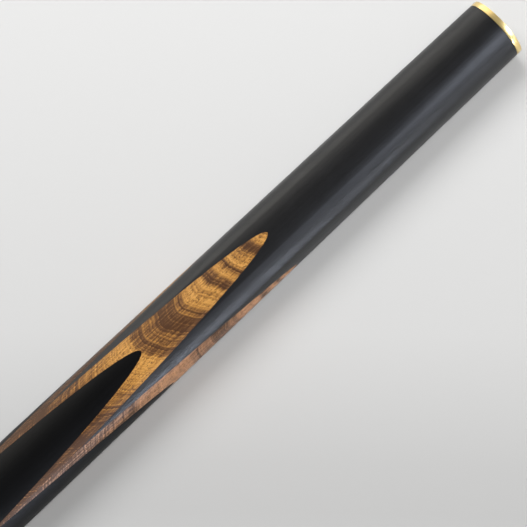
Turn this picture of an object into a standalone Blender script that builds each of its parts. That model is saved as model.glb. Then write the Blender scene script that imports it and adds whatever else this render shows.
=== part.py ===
"""A two-piece pool cue with a hand-spliced butt section and a tapered ash shaft section.

The cue lies along X. The origin is the centre of the bumper's flat end, +X runs along the cue to
its tip and +Z is up. Lengths are in metres. The shaft section is modelled screwed home, and the
empty that carries it then draws it straight out of the joint by a whole number of turns.
"""

from collections import namedtuple
from math import cos, pi, radians, sqrt, tau

import bmesh
import bpy
from mathutils import Matrix, Vector

# Overall sizes
BUTT_LENGTH = 0.420  # bumper's flat end to the joint face
SHAFT_LENGTH = 1.028  # joint face to the top of the leather tip
BUTT_END_RADIUS = 0.01497
JOINT_RADIUS = 0.0114
SHAFT_SLIM_RADIUS = 0.0060  # where the playing taper begins
SLIM_TO_TIP = 0.305
TIP_RADIUS = 0.0046

# Clearances
GLUE_GAP = 0.0003  # between pieces that touch
JOINT_FACE_GAP = 0.0002  # between the two joint collars when they are screwed home

# Layers of the splices: each strip is glued on a flat that falls towards the butt end
FIGURED_TIP_FROM_JOINT = 0.1050
BLACK_TIP_FROM_JOINT = 0.1624
CORE_HALF_AT_END = 0.0016
BASE_THICKNESS_AT_END = 0.00105
FIGURED_THICKNESS_AT_END = 0.0005
CORE_WALL = 0.00035  # left round the joint's bore where the core is thinnest
SHAFT_SPLICE_LENGTH = 0.2000
SHAFT_CORE_WALL = 0.0014  # left round the pin where the shaft's core is thinnest

# Joint between the two sections
COLLAR_THICKNESS = 0.0020
JOINT_THREAD_RADIUS = 0.004765
JOINT_THREAD_DEPTH = 0.00115
JOINT_PITCH = 0.00254
JOINT_INSERT_WALL = 0.00064  # outside the thread
PIN_REACH = 0.0240  # how far the pin stands out of the shaft section
SOCKET_SPARE = 0.0050  # how much deeper the socket is than the pin
PIN_NECK_LENGTH = 0.0024
PIN_SEAT_LENGTH = 0.0280  # how far the pin goes into the shaft's wood
TURNS_DRAWN_OUT = 20

# Butt end
END_COLLAR_THICKNESS = 0.0030
END_INSERT_WALL = 0.00143  # outside the thread
BUMPER_HEIGHT = 0.0090
BUMPER_FACE_RADIUS = 0.0100
BUMPER_SEAT_RADIUS = 0.0124
BUMPER_EDGE = 0.0016  # the radius of the rounding round its face
STUD_THREAD_RADIUS = 0.00397
STUD_THREAD_DEPTH = 0.00085
STUD_PITCH = 0.001814
STUD_THREAD_LENGTH = 0.0160
STUD_HEAD_RIM = 0.0022  # how far the head stands out past the thread
STUD_HEAD_THICKNESS = 0.0018
STUD_NECK_LENGTH = 0.0030  # the rubber between the head and the bumper's seat
STUD_SPARE = 0.0090  # how much deeper the end insert is than the stud

# Tip end
FERRULE_LENGTH = 0.0090
FERRULE_WALL = 0.0010
FERRULE_TOP = 0.0015
LEATHER_HEIGHT = 0.0042
LEATHER_CROWN_RADIUS = 0.0106  # the radius of the dome

# Threads and glue grooves
THREAD_LAND_SHARE = 0.25  # of the pitch: the flat on a crest and the flat in a root
FLANK_PLAY_SHARE = 1 / 12  # of the pitch: the play at each flank of a thread
GROOVE_DEPTH = 0.0002
GROOVE_WIDTH = 0.0022
GROOVE_PLACES = (0.25, 0.5, 0.75)  # shares of an insert's length

# Mesh fineness
WOOD_SEGMENTS = 32
METAL_SEGMENTS = 24
THREAD_SEGMENTS = 12
SHAFT_STATIONS = 10
LEATHER_STEPS = 5
FACET_SHARE = cos(pi / WOOD_SEGMENTS)  # the middle of a wood facet's radius, over its corners'
SAME_POINT = 0.000001
SHARP_FROM = radians(35)

HALF_GAP = GLUE_GAP / 2
JOINT_FACE = BUTT_LENGTH
WOOD_END = JOINT_FACE - COLLAR_THICKNESS - GLUE_GAP
SHAFT_FACE = JOINT_FACE + JOINT_FACE_GAP
SHAFT_WOOD_START = SHAFT_FACE + COLLAR_THICKNESS + GLUE_GAP
CUE_END = JOINT_FACE + SHAFT_LENGTH
LEATHER_START = CUE_END - LEATHER_HEIGHT
FERRULE_END = LEATHER_START - GLUE_GAP
FERRULE_START = FERRULE_END - FERRULE_LENGTH
SHAFT_WOOD_END = FERRULE_START - GLUE_GAP
COLLAR_SEAT = BUMPER_HEIGHT + GLUE_GAP
WOOD_START = COLLAR_SEAT + END_COLLAR_THICKNESS + GLUE_GAP
STUD_THREAD_START = COLLAR_SEAT + STUD_PITCH
STUD_THREAD_END = STUD_THREAD_START + STUD_THREAD_LENGTH
END_INSERT_END = STUD_THREAD_END + STUD_SPARE
END_INSERT_RADIUS = STUD_THREAD_RADIUS + GLUE_GAP + END_INSERT_WALL
END_BORE_RADIUS = END_INSERT_RADIUS + GLUE_GAP
END_BORE_BOTTOM = END_INSERT_END + GLUE_GAP
JOINT_INSERT_START = JOINT_FACE - PIN_REACH - SOCKET_SPARE
JOINT_INSERT_RADIUS = JOINT_THREAD_RADIUS + GLUE_GAP + JOINT_INSERT_WALL
JOINT_BORE_RADIUS = JOINT_INSERT_RADIUS + GLUE_GAP
DRAWN_OUT = TURNS_DRAWN_OUT * JOINT_PITCH

# A flat that a splice is glued on: its height over the axis at x, and its slope along X
Flat = namedtuple("Flat", "x height slope")
Thread = namedtuple("Thread", "radius depth pitch")
JOINT_THREAD = Thread(JOINT_THREAD_RADIUS, JOINT_THREAD_DEPTH, JOINT_PITCH)
STUD_THREAD = Thread(STUD_THREAD_RADIUS, STUD_THREAD_DEPTH, STUD_PITCH)


def butt_radius(x):
    """The butt's outer radius at x: a straight taper from the butt end to the joint."""
    return BUTT_END_RADIUS + (JOINT_RADIUS - BUTT_END_RADIUS) * x / BUTT_LENGTH


def shaft_radius(x):
    """The shaft's outer radius at x: the parabola through its radii at the joint, slim point and tip."""
    from_tip = FERRULE_END - x
    to_joint = FERRULE_END - SHAFT_FACE
    near = (SHAFT_SLIM_RADIUS - TIP_RADIUS) / SLIM_TO_TIP
    far = (JOINT_RADIUS - TIP_RADIUS) / to_joint
    bend = (far - near) / (to_joint - SLIM_TO_TIP)
    return TIP_RADIUS + from_tip * (near + bend * (from_tip - SLIM_TO_TIP))


def flat_through(low_x, low_height, high_x, high_height):
    """The flat that passes two heights over the axis."""
    return Flat(high_x, high_height, (high_height - low_height) / (high_x - low_x))


FIGURED_TIP = JOINT_FACE - FIGURED_TIP_FROM_JOINT
BLACK_TIP = JOINT_FACE - BLACK_TIP_FROM_JOINT
SHAFT_SPLICE_TIP = JOINT_FACE + SHAFT_SPLICE_LENGTH
FIGURED_AT_END = CORE_HALF_AT_END + BASE_THICKNESS_AT_END
BLACK_AT_END = FIGURED_AT_END + FIGURED_THICKNESS_AT_END
CORE_FLAT = flat_through(
    WOOD_START, CORE_HALF_AT_END, JOINT_INSERT_START, JOINT_BORE_RADIUS + CORE_WALL + GLUE_GAP
)
FIGURED_FLAT = flat_through(
    WOOD_START, FIGURED_AT_END, FIGURED_TIP, butt_radius(FIGURED_TIP) * FACET_SHARE
)
BLACK_FLAT = flat_through(
    WOOD_START, BLACK_AT_END, BLACK_TIP, butt_radius(BLACK_TIP) * FACET_SHARE
)
SHAFT_FLAT = flat_through(
    SHAFT_WOOD_START,
    JOINT_THREAD_RADIUS + GLUE_GAP + SHAFT_CORE_WALL,
    SHAFT_SPLICE_TIP,
    shaft_radius(SHAFT_SPLICE_TIP) * FACET_SHARE,
)


def clear_scene():
    for obj in list(bpy.data.objects):
        bpy.data.objects.remove(obj, do_unlink=True)


def finish_of(name, colour, roughness, metallic=0.0):
    """A plain Principled material."""
    material = bpy.data.materials.new(name)
    material.use_nodes = True
    shader = material.node_tree.nodes["Principled BSDF"]
    shader.inputs["Base Color"].default_value = (*colour, 1.0)
    shader.inputs["Roughness"].default_value = roughness
    shader.inputs["Metallic"].default_value = metallic
    return material


def make_object(bm, name, material, parent=None):
    """Turns a bmesh into a named object with smooth faces between its sharp edges."""
    bmesh.ops.recalc_face_normals(bm, faces=bm.faces)
    mesh = bpy.data.meshes.new(name)
    bm.to_mesh(mesh)
    bm.free()
    mesh.shade_smooth()
    mesh.set_sharp_from_angle(angle=SHARP_FROM)
    mesh.materials.append(material)
    obj = bpy.data.objects.new(name, mesh)
    obj.parent = parent
    bpy.context.scene.collection.objects.link(obj)
    return obj


def make_carrier(name):
    """An empty on the cue's axis that carries the pieces that move together."""
    empty = bpy.data.objects.new(name, None)
    empty.empty_display_size = 0.03
    bpy.context.scene.collection.objects.link(empty)
    return empty


def turned(profile, segments=METAL_SEGMENTS, closed=False):
    """A solid turned about X from (x, radius) points. A closed profile makes a ring."""
    bm = bmesh.new()
    half_step = Matrix.Rotation(pi / segments, 3, "X")
    verts = [bm.verts.new(half_step @ Vector((x, 0, radius))) for x, radius in profile]
    pairs = list(zip(verts, verts[1:]))
    if closed:
        pairs.append((verts[-1], verts[0]))
    edges = [bm.edges.new(pair) for pair in pairs]
    bmesh.ops.spin(
        bm,
        geom=verts + edges,
        cent=(0, 0, 0),
        axis=(1, 0, 0),
        angle=tau,
        steps=segments,
        use_merge=True,
    )
    bmesh.ops.remove_doubles(bm, verts=bm.verts, dist=SAME_POINT)
    bmesh.ops.recalc_face_normals(bm, faces=bm.faces)
    return bm


def cut(bm, point, normal):
    """Cuts away what lies on the normal's side of a plane and closes the cut with one face."""
    everything = bm.verts[:] + bm.edges[:] + bm.faces[:]
    found = bmesh.ops.bisect_plane(
        bm,
        geom=everything,
        dist=SAME_POINT,
        plane_co=point,
        plane_no=normal,
        clear_outer=True,
    )
    rim = [item for item in found["geom_cut"] if isinstance(item, bmesh.types.BMEdge)]
    if rim:
        bmesh.ops.contextual_create(bm, geom=rim)


def cut_at_flat(bm, flat, side):
    """Cuts along a flat that faces +Z. Side 1 keeps what lies under it, -1 what lies over it.

    A strip lies on its flat, so its outline is true, and what is under it gives up the glue gap.
    """
    normal = Vector((-flat.slope, 0, 1)).normalized()
    point = Vector((flat.x, 0, flat.height))
    if side == 1:
        point -= GLUE_GAP * normal
    cut(bm, point, side * normal)


def turn_by_quarters(bm, quarters):
    turn = Matrix.Rotation(quarters * pi / 2, 3, "X")
    bmesh.ops.rotate(bm, verts=bm.verts, cent=(0, 0, 0), matrix=turn)


def quarter_strip(blank, under, over, quarters):
    """One glued strip: the quarter of a blank over one flat and, where given, under another."""
    bm = blank.copy()
    for side in (1, -1):
        mitre = Vector((0, side, -1)).normalized()
        cut(bm, -HALF_GAP * mitre, mitre)
    cut_at_flat(bm, under, -1)
    if over:
        cut_at_flat(bm, over, 1)
    turn_by_quarters(bm, quarters)
    return bm


def core_of(blank, flat):
    """The square middle of a blank, left between four flats."""
    bm = blank.copy()
    for _ in range(4):
        cut_at_flat(bm, flat, 1)
        turn_by_quarters(bm, 1)
    return bm


def butt_blank(start):
    """The turned butt from start to its joint end."""
    profile = [(start, 0), (start, butt_radius(start)), (WOOD_END, butt_radius(WOOD_END)), (WOOD_END, 0)]
    return turned(profile, WOOD_SEGMENTS)


def shaft_blank():
    """The turned shaft, with the spigot that the ferrule sits on."""
    run = SHAFT_WOOD_END - SHAFT_WOOD_START
    stations = [SHAFT_WOOD_START + run * i / SHAFT_STATIONS for i in range(SHAFT_STATIONS + 1)]
    spigot = TIP_RADIUS - FERRULE_WALL - GLUE_GAP
    spigot_end = FERRULE_END - FERRULE_TOP - GLUE_GAP
    profile = [(SHAFT_WOOD_START, 0)]
    profile += [(x, shaft_radius(x)) for x in stations]
    profile += [(SHAFT_WOOD_END, spigot), (spigot_end, spigot), (spigot_end, 0)]
    return turned(profile, WOOD_SEGMENTS)


def threaded_rod(start, end, thread, for_nut=False):
    """A rod with a right-hand thread, cut square at both ends.

    The ridge is centred on the helix that crosses x = 0 at +Z, so rods of one pitch mate. The rod
    that cuts a nut is one glue gap thicker, and its ridge is wider by the play at each flank.
    """
    lift = GLUE_GAP if for_nut else 0.0
    play = thread.pitch * FLANK_PLAY_SHARE if for_nut else 0.0
    pitch = thread.pitch
    crest = thread.radius + lift
    root = thread.radius - thread.depth + lift
    half_crest = pitch * THREAD_LAND_SHARE / 2 + play
    half_root = pitch * THREAD_LAND_SHARE / 2 - play
    turns_before = int(start / pitch) - 2
    turns = int((end - start) / pitch) + 5
    first = turns_before * pitch
    profile = [
        (first - pitch / 2, root),
        (first - pitch / 2 + half_root, root),
        (first - half_crest, crest),
        (first + half_crest, crest),
        (first + pitch / 2 - half_root, root),
        (first + pitch / 2, root),
    ]
    bm = bmesh.new()
    verts = [bm.verts.new((x, 0, radius)) for x, radius in profile]
    edges = [bm.edges.new(pair) for pair in zip(verts, verts[1:])]
    bmesh.ops.spin(
        bm,
        geom=verts + edges,
        cent=(0, 0, 0),
        axis=(1, 0, 0),
        dvec=(pitch / THREAD_SEGMENTS, 0, 0),
        angle=turns * tau,
        steps=turns * THREAD_SEGMENTS,
    )
    bmesh.ops.remove_doubles(bm, verts=bm.verts, dist=SAME_POINT)
    cut(bm, (start, 0, 0), (-1, 0, 0))
    cut(bm, (end, 0, 0), (1, 0, 0))
    bmesh.ops.recalc_face_normals(bm, faces=bm.faces)
    return bm


def combine(obj, other, operation):
    """Adds a live Boolean. The other object is a helper and isn't a piece of the cue."""
    other.hide_render = True
    other.display_type = "WIRE"
    modifier = obj.modifiers.new(other.name, "BOOLEAN")
    modifier.operation = operation
    modifier.solver = "EXACT"
    modifier.object = other


def ring_profile(start, end, bore, start_radius, end_radius):
    """The closed outline of a ring about X."""
    return [(start, bore), (start, start_radius), (end, end_radius), (end, bore)]


def rod_profile(start, end, radius):
    return [(start, 0), (start, radius), (end, radius), (end, 0)]


def build_butt_wood(wood):
    """The ash core and its three layers of four glued strips."""
    butt = make_carrier("butt_section")
    from_bore = butt_blank(END_BORE_BOTTOM)
    from_end = butt_blank(WOOD_START)
    core = make_object(core_of(from_bore, CORE_FLAT), "butt_core", wood["ash"], butt)
    joint_bore = rod_profile(JOINT_INSERT_START - GLUE_GAP, JOINT_FACE, JOINT_BORE_RADIUS)
    combine(core, make_object(turned(joint_bore), "joint_bore", wood["ash"]), "DIFFERENCE")
    end_bore = rod_profile(0, END_BORE_BOTTOM, END_BORE_RADIUS)
    end_bore_cutter = make_object(turned(end_bore), "end_bore", wood["ash"])
    for quarter in range(4):
        number = quarter + 1
        base = quarter_strip(from_bore, CORE_FLAT, FIGURED_FLAT, quarter)
        make_object(base, f"base_splice_{number}", wood["black_wood"], butt)
        figured = quarter_strip(from_bore, FIGURED_FLAT, BLACK_FLAT, quarter)
        make_object(figured, f"figured_splice_{number}", wood["figured_wood"], butt)
        black = quarter_strip(from_end, BLACK_FLAT, None, quarter)
        strip = make_object(black, f"black_splice_{number}", wood["deep_black_wood"], butt)
        combine(strip, end_bore_cutter, "DIFFERENCE")
    from_bore.free()
    from_end.free()
    return butt


def build_insert(name, start, end, radius, thread, material, parent):
    """A turned brass insert, bored and threaded right through, with glue grooves round it."""
    profile = [(start, 0), (start, radius)]
    for share in GROOVE_PLACES:
        groove_start = start + share * (end - start) - GROOVE_WIDTH / 2
        groove_end = groove_start + GROOVE_WIDTH
        profile += [
            (groove_start, radius),
            (groove_start, radius - GROOVE_DEPTH),
            (groove_end, radius - GROOVE_DEPTH),
            (groove_end, radius),
        ]
    profile += [(end, radius), (end, 0)]
    insert = make_object(turned(profile), name, material, parent)
    cutter = threaded_rod(start - thread.pitch, end + thread.pitch, thread, for_nut=True)
    combine(insert, make_object(cutter, name + "_thread", material), "DIFFERENCE")
    return insert


def build_butt_metal(brass, butt):
    """The collar and insert of the joint, and those of the butt end."""
    start = JOINT_FACE - COLLAR_THICKNESS
    radii = (butt_radius(start), butt_radius(JOINT_FACE))
    collar = ring_profile(start, JOINT_FACE, JOINT_BORE_RADIUS, *radii)
    make_object(turned(collar, closed=True), "butt_joint_collar", brass, butt)
    build_insert(
        "butt_joint_insert",
        JOINT_INSERT_START,
        JOINT_FACE,
        JOINT_INSERT_RADIUS,
        JOINT_THREAD,
        brass,
        butt,
    )
    end = COLLAR_SEAT + END_COLLAR_THICKNESS
    radii = (butt_radius(COLLAR_SEAT), butt_radius(end))
    collar = ring_profile(COLLAR_SEAT, end, END_BORE_RADIUS, *radii)
    make_object(turned(collar, closed=True), "end_collar", brass, butt)
    build_insert(
        "end_insert",
        COLLAR_SEAT,
        END_INSERT_END,
        END_INSERT_RADIUS,
        STUD_THREAD,
        brass,
        butt,
    )


def build_bumper(rubber, steel):
    """The rubber bumper and the threaded stud that its neck holds."""
    bumper = make_carrier("bumper")
    head_end = BUMPER_HEIGHT - STUD_NECK_LENGTH
    head_start = head_end - STUD_HEAD_THICKNESS
    head_radius = STUD_THREAD_RADIUS + STUD_HEAD_RIM
    hole = STUD_THREAD_RADIUS + GLUE_GAP
    pocket = head_radius + GLUE_GAP
    outline = [
        (0, 0),
        (0, BUMPER_FACE_RADIUS),
        (BUMPER_EDGE * (1 - sqrt(0.5)), BUMPER_FACE_RADIUS + BUMPER_EDGE * sqrt(0.5)),
        (BUMPER_EDGE, BUMPER_FACE_RADIUS + BUMPER_EDGE),
        (BUMPER_HEIGHT, BUMPER_SEAT_RADIUS),
        (BUMPER_HEIGHT, hole),
        (head_end + GLUE_GAP, hole),
        (head_end + GLUE_GAP, pocket),
        (head_start - GLUE_GAP, pocket),
        (head_start - GLUE_GAP, 0),
    ]
    make_object(turned(outline), "bumper_pad", rubber, bumper)
    root = STUD_THREAD_RADIUS - STUD_THREAD_DEPTH
    shank_end = STUD_THREAD_START + STUD_PITCH / 2
    head = [
        (head_start, 0),
        (head_start, head_radius),
        (head_end, head_radius),
        (head_end, root),
        (shank_end, root),
        (shank_end, 0),
    ]
    stud = make_object(turned(head, THREAD_SEGMENTS), "bumper_stud", steel, bumper)
    rod = threaded_rod(STUD_THREAD_START, STUD_THREAD_END, STUD_THREAD)
    combine(stud, make_object(rod, "stud_thread", steel), "UNION")


def build_shaft(wood, brass, leather):
    """The shaft section: ash with four black points, the joint's collar and pin, ferrule and tip."""
    shaft = make_carrier("shaft_section")
    blank = shaft_blank()
    ash = make_object(core_of(blank, SHAFT_FLAT), "ash_shaft", wood["ash"], shaft)
    pin_seat = SHAFT_WOOD_START + PIN_SEAT_LENGTH
    seat_bore = rod_profile(
        SHAFT_FACE - GLUE_GAP, pin_seat + GLUE_GAP, JOINT_THREAD_RADIUS + GLUE_GAP
    )
    combine(ash, make_object(turned(seat_bore), "pin_bore", wood["ash"], shaft), "DIFFERENCE")
    for quarter in range(4):
        strip = quarter_strip(blank, SHAFT_FLAT, None, quarter)
        make_object(strip, f"shaft_splice_{quarter + 1}", wood["black_wood"], shaft)
    blank.free()

    end = SHAFT_FACE + COLLAR_THICKNESS
    collar = ring_profile(
        SHAFT_FACE,
        end,
        JOINT_THREAD_RADIUS + GLUE_GAP,
        shaft_radius(SHAFT_FACE),
        shaft_radius(end),
    )
    make_object(turned(collar, closed=True), "shaft_joint_collar", brass, shaft)

    root = JOINT_THREAD_RADIUS - JOINT_THREAD_DEPTH
    pin_end = SHAFT_FACE - PIN_REACH
    neck_start = SHAFT_FACE - PIN_NECK_LENGTH
    shank = [
        (neck_start - JOINT_PITCH / 2, 0),
        (neck_start - JOINT_PITCH / 2, root),
        (SHAFT_FACE, root),
        (SHAFT_FACE, JOINT_THREAD_RADIUS),
        (pin_seat, JOINT_THREAD_RADIUS),
        (pin_seat, 0),
    ]
    pin = make_object(turned(shank, THREAD_SEGMENTS), "joint_pin", brass, shaft)
    rod = threaded_rod(pin_end, neck_start, JOINT_THREAD)
    combine(pin, make_object(rod, "pin_thread", brass, shaft), "UNION")

    bore = TIP_RADIUS - FERRULE_WALL
    cup = [
        (FERRULE_START, bore),
        (FERRULE_START, shaft_radius(FERRULE_START)),
        (FERRULE_END, TIP_RADIUS),
        (FERRULE_END, 0),
        (FERRULE_END - FERRULE_TOP, 0),
        (FERRULE_END - FERRULE_TOP, bore),
    ]
    make_object(turned(cup, closed=True), "ferrule", brass, shaft)
    make_object(turned(crowned_tip()), "leather_tip", leather, shaft)
    shaft.location.x = DRAWN_OUT


def crowned_tip():
    """The leather tip's outline: a straight side under a dome of its own radius."""
    steps = LEATHER_STEPS
    points = [(LEATHER_START, 0), (LEATHER_START, TIP_RADIUS)]
    centre = CUE_END - LEATHER_CROWN_RADIUS
    for step in range(steps):
        radius = TIP_RADIUS * (1 - step / steps)
        points.append((centre + sqrt(LEATHER_CROWN_RADIUS**2 - radius**2), radius))
    points.append((CUE_END, 0))
    return points


def main():
    clear_scene()
    woods = {
        "ash": finish_of("ash", (0.56, 0.42, 0.26), 0.45),
        "black_wood": finish_of("black_wood", (0.030, 0.031, 0.036), 0.42),
        "figured_wood": finish_of("figured_wood", (0.47, 0.25, 0.09), 0.42),
        "deep_black_wood": finish_of("deep_black_wood", (0.010, 0.010, 0.011), 0.40),
    }
    brass = finish_of("brass", (0.78, 0.55, 0.24), 0.25, 1.0)
    steel = finish_of("steel", (0.55, 0.55, 0.56), 0.35, 1.0)
    rubber = finish_of("rubber", (0.018, 0.018, 0.018), 0.75)
    leather = finish_of("leather", (0.07, 0.12, 0.22), 0.85)
    butt = build_butt_wood(woods)
    build_butt_metal(brass, butt)
    build_bumper(rubber, steel)
    build_shaft(woods, brass, leather)


main()
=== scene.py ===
# %% [markdown]
# # A spliced pool cue, finished for close looking
#
# The cue comes in two sections that screw together: a butt section with glued layers of black and
# golden wood, and a long tapered ash shaft. Its solids are already in place. Here each visible one
# gets a finer shape and a finish that is worked out from nodes, and then the cue is lit.
#
# The frame is loaded first, because every length below comes from it. The cue lies along X with
# its rubber bumper at x = 0, and +Z is up.

# %% Load the frame
from collections import namedtuple
from math import cos, hypot, pi, radians, sin, sqrt, tau

import bmesh
import bpy
from mathutils import Matrix, Vector


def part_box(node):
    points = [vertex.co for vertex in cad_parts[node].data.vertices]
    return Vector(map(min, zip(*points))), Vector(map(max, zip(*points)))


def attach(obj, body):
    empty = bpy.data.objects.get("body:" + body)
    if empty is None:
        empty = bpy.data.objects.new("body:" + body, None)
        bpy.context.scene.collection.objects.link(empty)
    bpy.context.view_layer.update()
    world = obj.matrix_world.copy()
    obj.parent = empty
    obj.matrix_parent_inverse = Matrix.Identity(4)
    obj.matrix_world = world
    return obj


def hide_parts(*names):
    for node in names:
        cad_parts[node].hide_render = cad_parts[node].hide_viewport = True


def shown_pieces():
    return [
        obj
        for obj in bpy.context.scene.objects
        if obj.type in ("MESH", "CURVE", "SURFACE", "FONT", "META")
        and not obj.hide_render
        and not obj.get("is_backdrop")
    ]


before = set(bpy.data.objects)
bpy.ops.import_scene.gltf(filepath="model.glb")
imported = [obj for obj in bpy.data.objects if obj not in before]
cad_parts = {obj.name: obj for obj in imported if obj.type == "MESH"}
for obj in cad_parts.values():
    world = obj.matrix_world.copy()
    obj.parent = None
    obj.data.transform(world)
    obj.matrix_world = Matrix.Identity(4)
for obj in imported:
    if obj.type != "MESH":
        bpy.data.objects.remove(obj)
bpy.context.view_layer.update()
print("solids in the frame:", len(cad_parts))

# %% [markdown]
# ## The two tapers
#
# Wood and metal were turned together on the real cue, so one straight taper runs along the butt
# section, from the rubber to the brass ring. The shaft section has a curve instead: a parabola
# through its radii at the joint, at the slim point where the playing taper begins, and at the tip.
#
# The solids were turned with few sides, so a box tells how far the middle of a side is from the
# axis. All radii are taken as for the wood's number of sides, which keeps the finer shapes inside.

# %% Radii along the cue
WOOD_SIDES = 32
METAL_SIDES = 24
METAL_TO_WOOD = cos(pi / WOOD_SIDES) / cos(pi / METAL_SIDES)
SLIM_RADIUS = 0.0060 * cos(pi / WOOD_SIDES)
SLIM_TO_TIP = 0.305

black_low, black_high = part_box("black_splice_1")
ring_low, ring_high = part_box("butt_joint_collar")
shaft_ring_low, shaft_ring_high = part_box("shaft_joint_collar")
ferrule_low, ferrule_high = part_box("ferrule")
leather_low, leather_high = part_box("leather_tip")

BUTT_START = Vector((black_low.x, black_high.z))
BUTT_FINISH = Vector((ring_low.x, ring_high.z * METAL_TO_WOOD))
JOINT_RADIUS = shaft_ring_high.z * METAL_TO_WOOD
TIP_RADIUS = leather_high.z * METAL_TO_WOOD


def butt_radius(x):
    """The butt section's radius at x, on a straight taper."""
    share = (x - BUTT_START.x) / (BUTT_FINISH.x - BUTT_START.x)
    return BUTT_START.y + (BUTT_FINISH.y - BUTT_START.y) * share


def shaft_radius(x):
    """The shaft section's radius at x, on a parabola through three known radii."""
    from_tip = ferrule_high.x - x
    length = ferrule_high.x - shaft_ring_low.x
    near = (SLIM_RADIUS - TIP_RADIUS) / SLIM_TO_TIP
    far = (JOINT_RADIUS - TIP_RADIUS) / length
    bend = (far - near) / (length - SLIM_TO_TIP)
    return TIP_RADIUS + from_tip * (near + bend * (from_tip - SLIM_TO_TIP))


print(f"butt {butt_radius(0) * 2000:.2f} mm, joint {JOINT_RADIUS * 2000:.2f} mm across")

# %% [markdown]
# ## Turning, cutting and finishing shapes
#
# Nearly every piece was made on a lathe, so nearly every mesh starts as a few points that are spun
# round the cue's axis. A screw modifier would do it too, but the spin operator leaves a plain mesh
# that can be cut next. A piece that was glued up is then cut from the turned blank by planes, as
# the strips were planed flat before they were glued.

# %% Shape helpers
SAME_POINT = 1e-6
SHARP_FROM = radians(28)


def turned(profile, sides, closed=False):
    """A solid turned about X from (x, radius) points. A closed profile makes a ring."""
    bm = bmesh.new()
    verts = [bm.verts.new((x, 0, radius)) for x, radius in profile]
    pairs = list(zip(verts, verts[1:]))
    if closed:
        pairs.append((verts[-1], verts[0]))
    edges = [bm.edges.new(pair) for pair in pairs]
    bmesh.ops.spin(
        bm,
        geom=verts + edges,
        cent=(0, 0, 0),
        axis=(1, 0, 0),
        angle=tau,
        steps=sides,
        use_merge=True,
    )
    bmesh.ops.remove_doubles(bm, verts=bm.verts, dist=SAME_POINT)
    bmesh.ops.recalc_face_normals(bm, faces=bm.faces)
    return bm


def cut(bm, point, normal):
    """Cuts away what lies on the normal's side of a plane and closes the cut with one face."""
    everything = bm.verts[:] + bm.edges[:] + bm.faces[:]
    found = bmesh.ops.bisect_plane(
        bm,
        geom=everything,
        dist=SAME_POINT,
        plane_co=point,
        plane_no=normal,
        clear_outer=True,
    )
    rim = [item for item in found["geom_cut"] if isinstance(item, bmesh.types.BMEdge)]
    if rim:
        bmesh.ops.contextual_create(bm, geom=rim)


def ease_edges(bm, width, steps=2):
    """Rounds the rims that a lathe tool would leave sharp."""
    rims = [edge for edge in bm.edges if edge.is_manifold and edge.calc_face_angle() > SHARP_FROM]
    bmesh.ops.bevel(
        bm,
        geom=rims,
        offset=width,
        offset_type="OFFSET",
        affect="EDGES",
        segments=steps,
        profile=0.5,
        material=-1,
        clamp_overlap=True,
    )


def finish_piece(bm, name, body, nodes, material):
    """Makes an object of a mesh, hangs it on the body that it rides on, and hides the solids it stands
    for.
    """
    bmesh.ops.recalc_face_normals(bm, faces=bm.faces)
    mesh = bpy.data.meshes.new(name)
    bm.to_mesh(mesh)
    bm.free()
    mesh.shade_smooth()
    mesh.set_sharp_from_angle(angle=SHARP_FROM)
    mesh.materials.append(material)
    piece = bpy.data.objects.new(name, mesh)
    bpy.context.scene.collection.objects.link(piece)
    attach(piece, body)
    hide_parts(*nodes)
    print(f"{name}: {len(mesh.polygons)} faces")
    return piece


# %% [markdown]
# ## Nodes by hand
#
# Finishes are node trees. Two short helpers keep them readable: one adds a node and fills its
# inputs, with a plain value set on the socket and a socket linked to it, and one starts a material
# with its shader. Every pattern reads Object coordinates, so it stays put when the cue is taken
# apart, and it goes right through a piece as real grain does.

# %% Node helpers
def add(tree, kind, settings=None, **inputs):
    """Adds a node. Inputs are given by name, with spaces as underscores, or as _0, _1 by place."""
    node = tree.nodes.new(kind)
    for key, value in (settings or {}).items():
        setattr(node, key, value)
    for key, value in inputs.items():
        place = int(key[1:]) if key[0] == "_" else key.replace("_", " ")
        socket = node.inputs[place]
        if isinstance(value, bpy.types.NodeSocket):
            tree.links.new(value, socket)
        else:
            socket.default_value = value
    return node


def maths(tree, operation, first, second=0.0, third=0.0):
    """One sum on values."""
    node = add(tree, "ShaderNodeMath", {"operation": operation}, _0=first, _1=second, _2=third)
    return node.outputs[0]


def remap(tree, value, low, high, to_low=0.0, to_high=1.0, smooth=True):
    """Maps low..high to to_low..to_high and holds the ends."""
    kind = "SMOOTHSTEP" if smooth else "LINEAR"
    node = add(
        tree,
        "ShaderNodeMapRange",
        {"interpolation_type": kind},
        Value=value,
        From_Min=low,
        From_Max=high,
        To_Min=to_low,
        To_Max=to_high,
    )
    return node.outputs["Result"]


def blend_colours(tree, share, first, second):
    """Mixes two colours, each a socket or plain numbers."""
    node = tree.nodes.new("ShaderNodeMix")
    node.data_type = "RGBA"
    for place, value in ((0, share), (6, first), (7, second)):
        if isinstance(value, bpy.types.NodeSocket):
            tree.links.new(value, node.inputs[place])
        elif place == 0:
            node.inputs[place].default_value = value
        else:
            node.inputs[place].default_value = (*value, 1.0)
    return node.outputs[2]


def ramp(tree, value, stops):
    """A colour ramp from (position, colour) stops in order."""
    node = tree.nodes.new("ShaderNodeValToRGB")
    tree.links.new(value, node.inputs[0])
    elements = node.color_ramp.elements
    elements[0].position = stops[0][0]
    elements[1].position = stops[-1][0]
    for position, _ in stops[1:-1]:
        elements.new(position)
    for element, (_, colour) in zip(elements, stops):
        element.color = (*colour, 1.0)
    return node.outputs[0]


def noise(tree, vector, scale=1.0, detail=3.0, roughness=0.55, distortion=0.0):
    """Smooth noise from 0 to 1."""
    node = add(
        tree,
        "ShaderNodeTexNoise",
        Vector=vector,
        Scale=scale,
        Detail=detail,
        Roughness=roughness,
        Distortion=distortion,
    )
    return node.outputs[0]


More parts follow.
